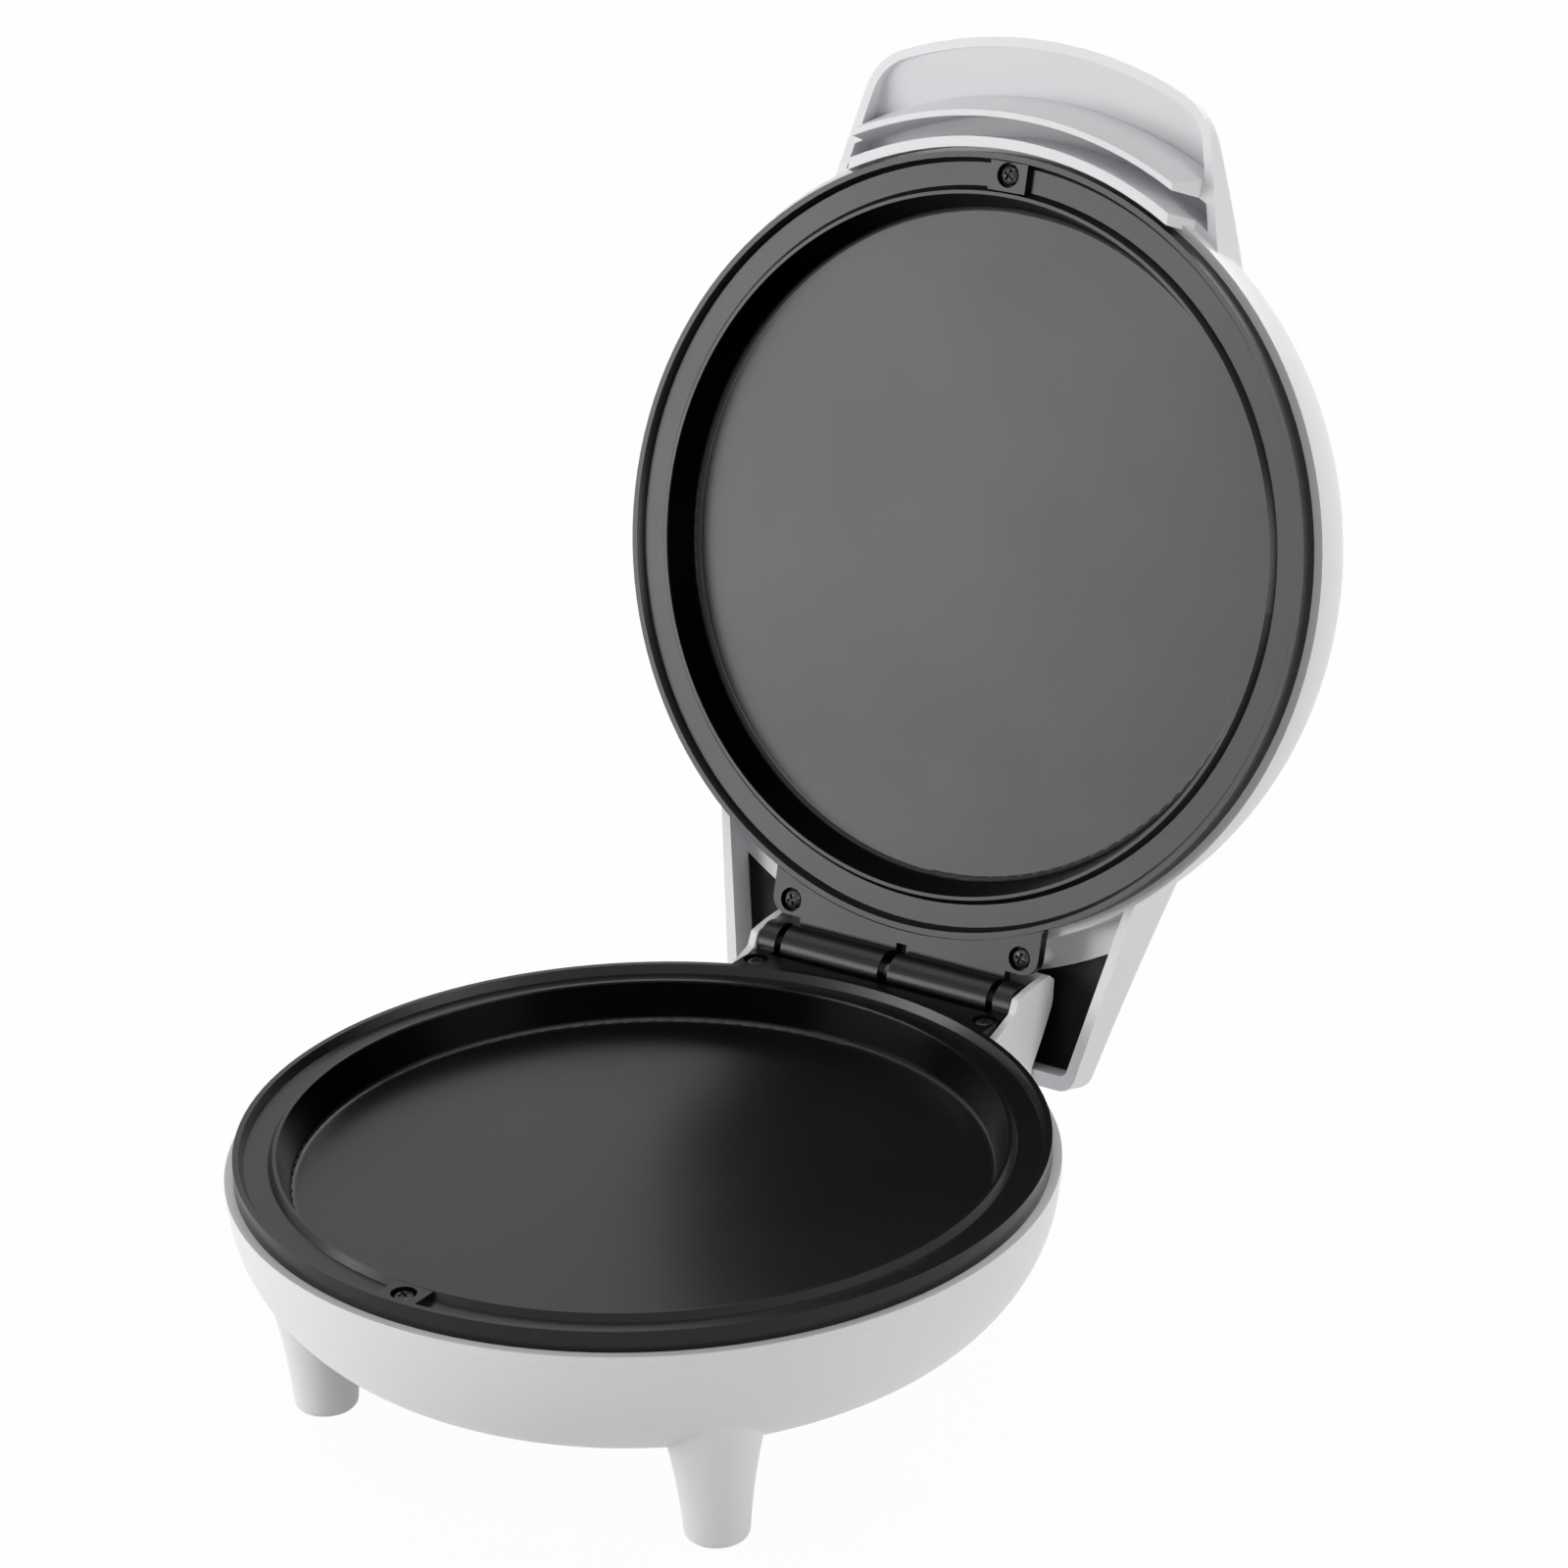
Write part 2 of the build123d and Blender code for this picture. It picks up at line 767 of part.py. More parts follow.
def reflector(half):
    """A thin sheet disc on the shell's posts, with its rim turned up round the element."""
    with BuildPart() as sheet:
        with BuildSketch(radial(half)):
            with BuildLine():
                FilletPolyline(
                    (reflector_hole_radius, reflector_level),
                    (reflector_radius, reflector_level),
                    (reflector_radius + reflector_rim / 2, reflector_level - reflector_rim),
                    (
                        reflector_radius + reflector_rim / 2 - reflector_thickness,
                        reflector_level - reflector_rim,
                    ),
                    (reflector_radius - reflector_thickness, reflector_level - reflector_thickness),
                    (reflector_hole_radius, reflector_level - reflector_thickness),
                    radius=(2 * reflector_thickness, 0, 0, reflector_thickness),
                )
                Line(
                    (reflector_hole_radius, reflector_level - reflector_thickness),
                    (reflector_hole_radius, reflector_level),
                )
            make_face()
        revolve(axis=middle(half))
    return sheet


def capsule(half, radius, height):
    """A round switch on the underside of the pan: a metal cap, a body and two blade terminals."""
    with BuildPart() as switch:
        with BuildSketch(half.offset(pan_underside)):
            Circle(radius)
        extrude(amount=cap_height)
        with BuildSketch(half.offset(pan_underside + cap_height)):
            Circle(radius - capsule_step)
        extrude(amount=height - cap_height)
        with BuildSketch(half.offset(pan_underside + height)):
            with GridLocations(radius, 0, 2, 1):
                Rectangle(blade_thickness, blade_width)
        extrude(amount=blade_length)
    return switch


# Safety link, lying in its own saddle against the pan
with BuildPart() as thermal_fuse:
    fuse_level = pan_underside + saddle_thickness + fuse_radius - fuse_seat
    with BuildSketch(across(base, fuse_x - fuse_length / 2)):
        with Locations((fuse_y, fuse_level)):
            Circle(fuse_radius)
        with Locations((fuse_y, pan_underside)):
            Rectangle(4 * fuse_radius, saddle_thickness, align=(Align.CENTER, Align.MIN))
    extrude(amount=fuse_length)
    with BuildSketch(across(base, fuse_x - fuse_length)):
        with Locations((fuse_y, fuse_level)):
            Circle(fuse_lead_radius)
    extrude(amount=2 * fuse_length)

# Bush in the back wall of the housing, with a collar outside and a lip inside.
# Its bore is narrow in the collar only and wider behind it
with BuildPart() as cord_gland:
    gland_length = gland_collar_thickness + housing_wall + gland_clearance + gland_lip_length
    gland_mouth = hinge_y + gland_face + gland_collar_thickness
    with BuildSketch(Plane(origin=base.from_local_coords((0, gland_mouth, gland_level)), z_dir=-base.y_dir)):
        Circle(gland_collar_radius)
    extrude(amount=gland_collar_thickness)
    with BuildSketch(Plane(origin=base.from_local_coords((0, gland_mouth, gland_level)), z_dir=-base.y_dir)):
        Circle(gland_body_radius)
    extrude(amount=gland_length)
    chamfer(cord_gland.edges().sort_by(Axis.Y)[-1], gland_bevel)
    with BuildSketch(Plane(origin=base.from_local_coords((0, gland_mouth, gland_level)), z_dir=-base.y_dir)):
        Circle(gland_bore_radius)
    extrude(amount=gland_length, mode=Mode.SUBTRACT)
    throat_end = gland_mouth - gland_throat_length
    with BuildSketch(Plane(origin=base.from_local_coords((0, throat_end, gland_level)), z_dir=-base.y_dir)):
        Circle(gland_relief_radius)
    extrude(amount=gland_length, mode=Mode.SUBTRACT)

# Block that joins the mains wires, on the floor of the bowl
with BuildPart() as terminal_block:
    with BuildSketch(base.offset(shell_depth - shell_wall - terminal_block_height)):
        with Locations((0, terminal_block_y)):
            RectangleRounded(terminal_block_length, terminal_block_width, terminal_corner)
    extrude(amount=terminal_block_height)
    with BuildSketch(base.offset(shell_depth - shell_wall - terminal_block_height)):
        with Locations((0, terminal_block_y)):
            with GridLocations(terminal_block_length / 3, 0, 3, 1):
                Circle(terminal_screw_radius)
    extrude(amount=terminal_block_height / 2, mode=Mode.SUBTRACT)


def handle_body(inset, edge):
    """The handle's outline from its free edge down to its roof, or the same drawn in by inset.

    Its front is an arc, its sides flare towards the dome, and its roof falls to the front
    and is crowned from side to side."""
    front = plate_radius + handle_reach
    corner_y = handle_front_fall - front
    root = plate_radius - handle_root_inset
    root_half_width = handle_half_width + handle_flare * (-corner_y - root)
    lip_level = handle_edge_level + handle_lip_height - inset
    crown_in = lid.z_dir * cos(radians(handle_crown_angle)) - lid.x_dir * sin(radians(handle_crown_angle))
    crown_centre = lid.origin - lid.z_dir * handle_crown_radius
    crown_start = Plane(
        origin=crown_centre + crown_in * handle_crown_radius,
        x_dir=lid.y_dir,
        z_dir=lid.y_dir.cross(crown_in),
    )
    with BuildPart() as body:
        with BuildSketch(crown_start):
            with BuildLine():
                crest = Spline(
                    (-front, lip_level),
                    (handle_middle_reach - front, lip_level + handle_middle_rise),
                    (-root, lip_level + handle_root_rise),
                )
                Polyline(
                    crest @ 1,
                    (-root, -shell_depth),
                    (-front - handle_reach, -shell_depth),
                    (-front - handle_reach, lip_level),
                    crest @ 0,
                )
            make_face()
        revolve(axis=Axis(crown_centre, lid.y_dir), revolution_arc=2 * handle_crown_angle)
        with BuildSketch(lid.offset(edge)):
            with BuildLine():
                front_arc = ThreePointArc(
                    (-handle_half_width, corner_y), (0, -front), (handle_half_width, corner_y)
                )
                Polyline(
                    front_arc @ 1, (root_half_width, -root), (-root_half_width, -root), front_arc @ 0
                )
            make_face()
            fillet(vertices().sort_by(Axis.Y)[:2], handle_corner)
            if inset > 0:
                offset(amount=-inset)
        extrude(amount=shell_depth, mode=Mode.INTERSECT)
        if inset == 0:
            roof_face = body.faces().filter_by(GeomType.PLANE, reverse=True).sort_by(SortBy.AREA)[-1]
            fillet(roof_face.edges(), handle_roof_fillet)
    return body.part


def tail_outline(side_inset, end_inset):
    """The tail seen from the rim plane, drawn in at its sides and at its end."""
    root = plate_radius - tail_root_inset
    end = hinge_y + tail_reach - end_inset
    half_width = tail_half_width - side_inset
    root_half_width = half_width + tail_flare * (end + end_inset - root)
    FilletPolyline(
        (-root_half_width, root),
        (-half_width, end),
        (half_width, end),
        (root_half_width, root),
        radius=tail_corner - side_inset,
    )
    Line((root_half_width, root), (-root_half_width, root))


def tail_body(side_inset, end_inset, drop, edge):
    """The tail's outline from its edge down to its roof, or the same drawn in and lowered."""
    root = plate_radius - tail_root_inset
    end = hinge_y + tail_reach
    roof_level = tail_roof_level - drop
    width = 4 * tail_half_width
    with BuildPart() as body:
        with BuildSketch(lid.offset(edge)):
            with BuildLine():
                tail_outline(side_inset, end_inset)
            make_face()
        extrude(amount=shell_depth)
        with BuildSketch(across(lid, -width / 2)):
            with BuildLine():
                crest = Spline(
                    (root - 1, roof_level + tail_root_rise),
                    (end - tail_middle_reach, roof_level + tail_middle_rise),
                    (end + 1, roof_level),
                )
                Polyline(crest @ 1, (end + 1, 0), (root - 1, 0), crest @ 0)
            make_face()
        extrude(amount=width, mode=Mode.INTERSECT)
        if side_inset == 0:
            roof_face = body.faces().filter_by(GeomType.PLANE, reverse=True).sort_by(SortBy.AREA)[-1]
            fillet(roof_face.edges(), tail_roof_fillet)
    return body.part


inner_rib_inner = plate_radius + inner_rib_start
inner_rib_outer = inner_rib_inner + inner_rib_width
outer_rib_inner = inner_rib_outer + finger_groove_width
outer_rib_outer = outer_rib_inner + outer_rib_width
shelf_radius = ear_screw_y + shelf_past_screws
shelf_end = shelf_level + cover_thickness

# Space scooped out of the handle, in front of the rib beside the plate
with BuildPart() as finger_space:
    add(handle_body(handle_wall, handle_edge_level - handle_wall))
    with BuildSketch(lid):
        Circle(inner_rib_outer)
    extrude(amount=shell_depth, mode=Mode.SUBTRACT)

# Two ribs round the plate that stand up out of the handle, with sloping ends
with BuildPart() as finger_ribs:
    with BuildSketch(radial(lid)):
        with BuildLine():
            Polyline(
                (inner_rib_inner, 0),
                (inner_rib_outer, 0),
                (inner_rib_outer, rib_root_level),
                (inner_rib_inner, rib_root_level),
                close=True,
            )
        make_face()
        with BuildLine():
            Polyline(
                (outer_rib_inner, 0),
                (outer_rib_outer, 0),
                (outer_rib_outer + outer_rib_lean, rib_root_level),
                (outer_rib_outer + outer_rib_lean, shell_depth),
                (outer_rib_inner, shell_depth),
                close=True,
            )
        make_face()
    revolve(axis=middle(lid))
    add(handle_body(handle_wall / 2, 0), mode=Mode.INTERSECT)
    with BuildSketch(radial(lid)):
        with BuildLine():
            Polyline(
                (-rib_half_width, 0),
                (rib_half_width, 0),
                (rib_half_width + rib_end_slope, handle_edge_level),
                (plate_radius, handle_edge_level),
                (plate_radius, shell_depth),
                (-plate_radius, shell_depth),
                (-plate_radius, handle_edge_level),
                (-rib_half_width - rib_end_slope, handle_edge_level),
                close=True,
            )
        make_face()
    extrude(amount=2 * plate_radius, mode=Mode.INTERSECT)

# Space in the tail: a pocket round the hinge down to the shelf and the wire cover's ledge
with BuildPart() as hinge_space:
    with BuildSketch(lid):
        with BuildLine():
            tail_outline(tail_wall, tail_end_wall)
        make_face()
        Circle(shell_radius + band_proud, mode=Mode.SUBTRACT)
    extrude(amount=shelf_end)
    with BuildSketch(lid.offset(shelf_level)):
        Circle(shelf_radius)
    extrude(amount=cover_thickness, mode=Mode.SUBTRACT)

# Space for the wires, under the shelf and the cover
with BuildPart() as wire_space:
    add(tail_body(tail_wall + cover_ledge, tail_end_wall + cover_ledge, tail_wall, shelf_end))
    with BuildSketch(lid):
        Circle(shell_radius + shell_wall)
    extrude(amount=shell_depth, mode=Mode.SUBTRACT)

lens_y = lens_inset - shoulder_centre
lens_places = ((-lens_half_pitch, lens_y), (lens_half_pitch, lens_y))
lens_end = shell_depth - lens_body_length

# Dome with the scooped handle at its front and the tail that closes the hinge's back
with BuildPart() as lid_shell:
    add(dome(lid))
    add(handle_body(0, handle_edge_level))
    add(tail_body(0, 0, 0, tail_edge_level))
    add(finger_space.part, mode=Mode.SUBTRACT)
    add(hinge_space.part, mode=Mode.SUBTRACT)
    add(wire_space.part, mode=Mode.SUBTRACT)
    add(finger_ribs.part)
    add(ear_columns(lid, shelf_level + cover_thickness / 2))
    add(hollow(lid, 90), mode=Mode.SUBTRACT)
    add(front_boss(lid))
    add(screw_holes(lid), mode=Mode.SUBTRACT)
    with BuildSketch(lid.offset(lens_end)):
        with Locations(lens_places):
            Circle(lens_radius + lens_clearance)
    extrude(amount=shell_depth - lens_end, mode=Mode.SUBTRACT)
    wire_hole_level = shelf_end + wire_hole_radius + cover_clearance
    wire_hole = lid.from_local_coords((0, shell_radius + wire_hole_reach, wire_hole_level))
    with BuildSketch(Plane(origin=wire_hole, z_dir=-lid.y_dir)):
        Circle(wire_hole_radius)
    extrude(amount=wire_hole_length, mode=Mode.SUBTRACT)

lid_plate = plate_body(
    lid,
    lid_knuckle_start,
    lid_knuckle_end,
    -lid_hinge_height,
    pin_radius + pin_clearance,
    ear_half_width,
)
lid_plate_screws = plate_screws(lid)

# Dark panel over the wires, flush with the shelf
with BuildPart() as lid_wire_cover:
    with BuildSketch(lid.offset(shelf_level)):
        with BuildLine():
            tail_outline(tail_wall + cover_clearance, tail_end_wall + cover_clearance)
        make_face()
        Circle(shelf_radius + cover_clearance, mode=Mode.SUBTRACT)
    extrude(amount=cover_thickness)


def lens(place):
    """A small window with a bevelled flange outside and a body through the dome."""
    with BuildPart() as window:
        with BuildSketch(lid.offset(shell_depth)):
            with Locations(place):
                Circle(lens_flange_radius)
        extrude(amount=lens_flange_height)
        chamfer(window.edges().sort_by(Axis(lid.origin, lid.z_dir))[-1], lens_bevel)
        with BuildSketch(lid.offset(shell_depth)):
            with Locations(place):
                Circle(lens_radius)
        extrude(amount=-lens_body_length)
    return window


power_lens = lens(lens_places[0])
ready_lens = lens(lens_places[1])

# Moulding under the lenses, with a bore for each lens and lamp
with BuildPart() as lamp_holder:
    holder_radius = lens_radius + lens_clearance + holder_wall
    with BuildSketch(lid.offset(shell_depth - shell_wall - holder_height)):
        with Locations((0, lens_y)):
            SlotCenterToCenter(2 * lens_half_pitch, 2 * holder_radius)
    extrude(amount=holder_height)
    with BuildSketch(lid.offset(shell_depth - shell_wall - holder_height)):
        with Locations(lens_places):
            Circle(lamp_radius + lens_clearance)
    extrude(amount=holder_height, mode=Mode.SUBTRACT)
    with BuildSketch(lid.offset(lens_end - lens_clearance)):
        with Locations(lens_places):
            Circle(lens_radius + lens_clearance)
    extrude(amount=shell_wall + lens_clearance, mode=Mode.SUBTRACT)

with BuildPart() as indicator_lamps:
    with BuildSketch(lid.offset(lens_end - lens_clearance - lamp_length)):
        with Locations(lens_places):
            Circle(lamp_radius)
    extrude(amount=lamp_length)
    chamfer(indicator_lamps.edges().group_by(Axis(lid.origin, lid.z_dir))[-1], lamp_bevel)


def write(piece, name):
    """Label a finished piece and write it to its file."""
    piece.part.label = name
    export_step(piece.part, f"parts/{name}.step")


os.makedirs("parts", exist_ok=True)
write(base_shell, "base_shell")
write(foot_pads, "foot_pads")
write(base_plate, "base_plate")
write(base_plate_screws, "base_plate_screws")
write(hinge_pin, "hinge_pin")
write(heating_element(base), "base_heating_element")
write(element_saddles(base), "element_clamps_base")
write(reflector(base), "base_reflector")
write(capsule(base, thermostat_radius, thermostat_height), "thermostat")
write(thermal_fuse, "thermal_fuse")
write(cord_gland, "cord_gland")
write(terminal_block, "terminal_block")
write(lid_shell, "lid_shell")
write(lid_plate, "lid_plate")
write(lid_plate_screws, "lid_plate_screws")
write(heating_element(lid), "lid_heating_element")
write(element_saddles(lid), "element_clamps_lid")
write(reflector(lid), "lid_reflector")
write(capsule(lid, cutout_radius, cutout_height), "lid_cutout")
write(lid_wire_cover, "lid_wire_cover")
write(power_lens, "power_lens")
write(ready_lens, "ready_lens")
write(lamp_holder, "lamp_holder")
write(indicator_lamps, "indicator_lamps")
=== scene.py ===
"""Finishes, small turned and moulded details, lights and camera for the pizza maker.

Lengths in the shape functions are millimetres in the frame of one half: x across, y towards
the hinge and z from the rim plane into the half. in_base and in_lid put them in the room.
Lengths in the finishes, the camera and the studio are metres.
"""

import json
import math

import bpy
import numpy as np
from mathutils import Matrix, Vector


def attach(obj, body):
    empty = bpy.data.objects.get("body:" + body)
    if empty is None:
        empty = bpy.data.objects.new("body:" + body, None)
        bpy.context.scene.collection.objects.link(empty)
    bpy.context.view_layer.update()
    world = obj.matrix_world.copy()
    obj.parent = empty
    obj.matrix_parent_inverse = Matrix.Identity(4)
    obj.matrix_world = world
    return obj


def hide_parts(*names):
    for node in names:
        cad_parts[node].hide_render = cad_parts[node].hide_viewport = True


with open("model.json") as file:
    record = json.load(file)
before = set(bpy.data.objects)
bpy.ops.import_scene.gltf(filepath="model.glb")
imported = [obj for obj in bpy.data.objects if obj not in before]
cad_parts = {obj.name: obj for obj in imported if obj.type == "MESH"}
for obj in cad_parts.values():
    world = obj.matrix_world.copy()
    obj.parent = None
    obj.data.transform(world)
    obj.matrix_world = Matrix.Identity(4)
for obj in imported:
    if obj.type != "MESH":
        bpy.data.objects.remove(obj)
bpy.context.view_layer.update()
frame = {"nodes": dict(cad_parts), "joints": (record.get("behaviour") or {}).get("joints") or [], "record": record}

# Places on the halves, in millimetres; a screw's third number is the level of its seat
screw_places = ((0.0, -104.4, 0.4), (-38.7, 109.9, 1.0), (38.7, 109.9, 1.0))
leg_places = ((64.8, -61.0), (-64.8, -61.0), (42.0, 92.0), (-42.0, 92.0))
lens_places = ((-9.0, -58.0), (9.0, -58.0))
shell_depth = 50.0
hinge_y = 122.5
hinge_height = 1.3
stand_height = 73.8

# The hinge in the room
hinge_point = np.array(frame["joints"][0]["pos_m"])
open_angle = math.radians(106.0)


def in_base(points):
    """Half coordinates to the room: x is mirrored and z runs down from the rim plane."""
    x, y, z = np.moveaxis(np.asarray(points, float), -1, 0)
    room_y = hinge_point[1] + (y - hinge_y) / 1000
    return np.stack([-x / 1000, room_y, (stand_height - z) / 1000], -1)


def in_lid(points):
    """Half coordinates to the room: the closed lid turned back about the hinge by open_angle."""
    x, y, z = np.moveaxis(np.asarray(points, float), -1, 0)
    out = (y - hinge_y) / 1000
    up = (z + hinge_height) / 1000
    turned_y = out * math.cos(open_angle) + up * math.sin(open_angle)
    turned_z = up * math.cos(open_angle) - out * math.sin(open_angle)
    return np.stack([x / 1000, hinge_point[1] + turned_y, hinge_point[2] + turned_z], -1)


# Finishes


class Finish:
    """A principled material and the procedural patterns that feed it."""

    wave_rate = 20.0  # radians per metre in a wave pattern whose scale is 1
    flat = (1, 1, 1e6)  # a scale that squeezes Z away
    usual = (0.3, 0.7)  # where most of a noise pattern's values lie

    def __init__(self, name, **constants):
        self.material = bpy.data.materials.new(name)
        self.material.use_nodes = True
        self.tree = self.material.node_tree
        self.shader = self.tree.nodes["Principled BSDF"]
        self.place = self.add("ShaderNodeTexCoord").outputs["Object"]
        self.normal = None
        for socket, value in constants.items():
            self.shader.inputs[socket.replace("_", " ")].default_value = value

    def add(self, kind, **settings):
        node = self.tree.nodes.new(kind)
        for key, value in settings.items():
            setattr(node, key, value)
        return node

    def join(self, output, socket):
        self.tree.links.new(output, socket)

    def noise(self, size, detail=2.0, roughness=0.5):
        """Cloudy variation whose blotches are about size metres across."""
        node = self.add("ShaderNodeTexNoise")
        node.inputs["Scale"].default_value = 1 / size
        node.inputs["Detail"].default_value = detail
        node.inputs["Roughness"].default_value = roughness
        self.join(self.place, node.inputs["Vector"])
        return node.outputs["Fac"]

    def cells(self, size, output="Distance"):
        """Grains about size metres across."""
        node = self.add("ShaderNodeTexVoronoi")
        node.inputs["Scale"].default_value = 1 / size
        self.join(self.place, node.inputs["Vector"])
        return node.outputs[output]

    def lines(self, pitch, axis, distortion):
        """Straight marks across an axis, which come again every 2 pi times pitch metres."""
        node = self.add("ShaderNodeTexWave", wave_type="BANDS", bands_direction=axis)
        node.inputs["Scale"].default_value = 1 / (self.wave_rate * pitch)
        node.inputs["Distortion"].default_value = distortion
        self.join(self.place, node.inputs["Vector"])
        return node.outputs["Fac"]

    def ring(self, inner, outer, edge, turn, centre):
        """1 between two radii round the Z axis of a moved and turned frame, and 0 away from it."""
        mapping = self.add("ShaderNodeMapping", vector_type="TEXTURE")
        mapping.inputs["Location"].default_value = centre
        mapping.inputs["Rotation"].default_value = turn
        mapping.inputs["Scale"].default_value = self.flat
        length = self.add("ShaderNodeVectorMath", operation="LENGTH")
        self.join(self.place, mapping.inputs["Vector"])
        self.join(mapping.outputs["Vector"], length.inputs[0])
        radius = length.outputs["Value"]
        past_inner = self.remap(radius, inner - edge, inner)
        short_of_outer = self.remap(radius, outer, outer - edge / 2)
        return self.product(past_inner, short_of_outer)

    def remap(self, value, low, high, to_low=0.0, to_high=1.0):
        """Values from low to high spread over another range, whose ends hold the rest."""
        node = self.add("ShaderNodeMapRange")
        for socket, number in (
            ("From Min", low),
            ("From Max", high),
            ("To Min", to_low),
            ("To Max", to_high),
        ):
            node.inputs[socket].default_value = number
        self.join(value, node.inputs["Value"])
        return node.outputs["Result"]

    def product(self, first, second):
        node = self.add("ShaderNodeMath", operation="MULTIPLY")
        self.join(first, node.inputs[0])
        self.join(second, node.inputs[1])
        return node.outputs[0]

    def blend(self, factor, first, second):
        """Colour first where factor is 0, second where it is 1. Each is a colour or an output."""
        node = self.add("ShaderNodeMix", data_type="RGBA")
        self.join(factor, node.inputs["Factor"])
        for socket, colour in ((node.inputs[6], first), (node.inputs[7], second)):
            if isinstance(colour, tuple):
                socket.default_value = (*colour, 1.0)
            else:
                self.join(colour, socket)
        return node.outputs[2]

    def colour(self, output):
        self.join(output, self.shader.inputs["Base Color"])

    def roughness(self, value, low, high):
        self.join(self.remap(value, *self.usual, low, high), self.shader.inputs["Roughness"])

    def relief(self, height, depth, strength):
        """Adds a bump of depth metres on top of the bumps so far."""
        node = self.add("ShaderNodeBump")
        node.inputs["Strength"].default_value = strength
        node.inputs["Distance"].default_value = depth
        self.join(height, node.inputs["Height"])
        if self.normal:
            self.join(self.normal, node.inputs["Normal"])
        self.normal = node.outputs["Normal"]
        self.join(self.normal, self.shader.inputs["Normal"])


def grey(level, tint=0.0):
    """A grey with a little blue in it."""
    return (level * (1 - tint), level * (1 - tint), level * (1 + tint))


def moulded_white():
    """White moulding with a soft gloss: faint flow marks, fine grain and an orange-peel skin."""
    finish = Finish("white_moulding", Specular_IOR_Level=0.35)
    dark, middle, pale = (grey(level, tint=0.012) for level in (0.76, 0.775, 0.79))
    flow = finish.noise(size=0.12)
    grain = finish.noise(size=0.0006, roughness=0.6)
    finish.colour(finish.blend(grain, finish.blend(flow, dark, pale), middle))
    finish.roughness(finish.noise(size=0.05), low=0.34, high=0.40)
    finish.relief(finish.noise(size=0.003, detail=1.0), depth=0.00002, strength=0.12)
    finish.relief(grain, depth=0.00001, strength=0.12)
    return finish.material


def nonstick_coat_with_painted_shade(name, turn, centre):
    """Sprayed dark coating: fine satin grain, scattered mica and slow changes of gloss.

    The pan's upright side is a ring round the plate's axis. There the colour is painted shade, near black, and the
    coat is made metallic so that it reflects less.
    Turn and centre put that axis in the room."""
    wall_foot, wall_top, soft_edge = 0.0951, 0.0984, 0.0007
    finish = Finish(name, Specular_IOR_Level=0.31)
    # Painted shade: a mask picks out the pan's upright side, and there the coat is made metallic so that it
    # reflects less.
    painted_shade_wall = finish.ring(wall_foot, wall_top, soft_edge, turn, centre)
    finish.join(painted_shade_wall, finish.shader.inputs["Metallic"])
    cloud = finish.noise(size=0.05, detail=3.0)
    grain = finish.noise(size=0.0007, detail=3.0, roughness=0.6)
    flakes = finish.remap(finish.cells(size=0.0011), 0.02, 0.13)
    body = finish.blend(grain, grey(0.0015, tint=0.02), grey(0.0035, tint=0.02))
    coat = finish.blend(flakes, grey(0.02, tint=0.02), body)
    # Painted shade: the pan's upright side gets a near-black colour in place of the coat.
    finish.colour(finish.blend(painted_shade_wall, coat, grey(0.0016)))
    finish.roughness(cloud, low=0.25, high=0.29)
    finish.relief(grain, depth=0.00004, strength=0.30)
    finish.relief(finish.noise(size=0.004), depth=0.00008, strength=0.10)
    return finish.material


def blackened_steel():
    """Blackened screw: an oily dark skin, worn bright where the wear attribute says."""
    finish = Finish("blackened_steel", Metallic=0.85)
    worn = finish.add("ShaderNodeAttribute", attribute_name="wear").outputs["Fac"]
    patches = finish.remap(finish.noise(size=0.0009, detail=3.0), 0.35, 0.65)
    finish.colour(finish.blend(finish.product(worn, patches), grey(0.035), grey(0.20)))
    finish.roughness(finish.noise(size=0.0012, detail=3.0), low=0.30, high=0.48)
    finish.relief(finish.noise(size=0.0005), depth=0.00002, strength=0.4)
    return finish.material


def soft_rubber():
    """Black rubber: matt, a little dusty, with a fine moulded grain."""
    finish = Finish("soft_rubber")
    dust = finish.noise(size=0.004, detail=4.0, roughness=0.65)
    finish.colour(finish.blend(dust, grey(0.012), grey(0.030)))
    finish.roughness(dust, low=0.62, high=0.85)
    finish.relief(finish.noise(size=0.0006), depth=0.00004, strength=0.5)
    return finish.material


def turned_steel(name, level, rough, pitch, tint=(1.0, 1.0, 1.0)):
    """Plain steel with turning marks round the hinge's direction and a thin, duller oxide."""
    oxide_level, oxide_rough = 0.6 * level, rough + 0.18
    finish = Finish(name, Metallic=1.0)
    oxide = finish.noise(size=0.006, detail=4.0, roughness=0.6)
    bright = tuple(level * t for t in tint)
    dull = tuple(oxide_level * t * t for t in tint)
    finish.colour(finish.blend(oxide, bright, dull))
    finish.roughness(oxide, rough, oxide_rough)
    finish.relief(finish.lines(pitch, "X", distortion=0.4), depth=0.00001, strength=0.5)
    return finish.material


def spangled_sheet(name, level, rough, size):
    """Plated sheet: crystals of slightly different brightness with rolled lines across them."""
    dull_level, dull_rough = 0.82 * level, rough + 0.12
    finish = Finish(name, Metallic=1.0)
    tone = finish.remap(finish.cells(size, output="Color"), 0.0, 1.0)
    finish.colour(finish.blend(tone, grey(level), grey(dull_level, tint=0.02)))
    finish.roughness(tone, rough, dull_rough)
    finish.relief(finish.lines(0.0006, "Y", distortion=1.0), depth=0.00001, strength=0.4)
    return finish.material


def black_moulding():
    """Black moulded plastic with a fine spark-eroded texture and paler rubbed patches."""
    finish = Finish("black_moulding", Specular_IOR_Level=0.15)
    rubbed = finish.noise(size=0.012, detail=4.0, roughness=0.6)
    finish.colour(finish.blend(rubbed, grey(0.003, tint=0.01), grey(0.006, tint=0.01)))
    finish.roughness(rubbed, low=0.40, high=0.56)
    finish.relief(finish.cells(size=0.0006), depth=0.00004, strength=0.35)
    return finish.material


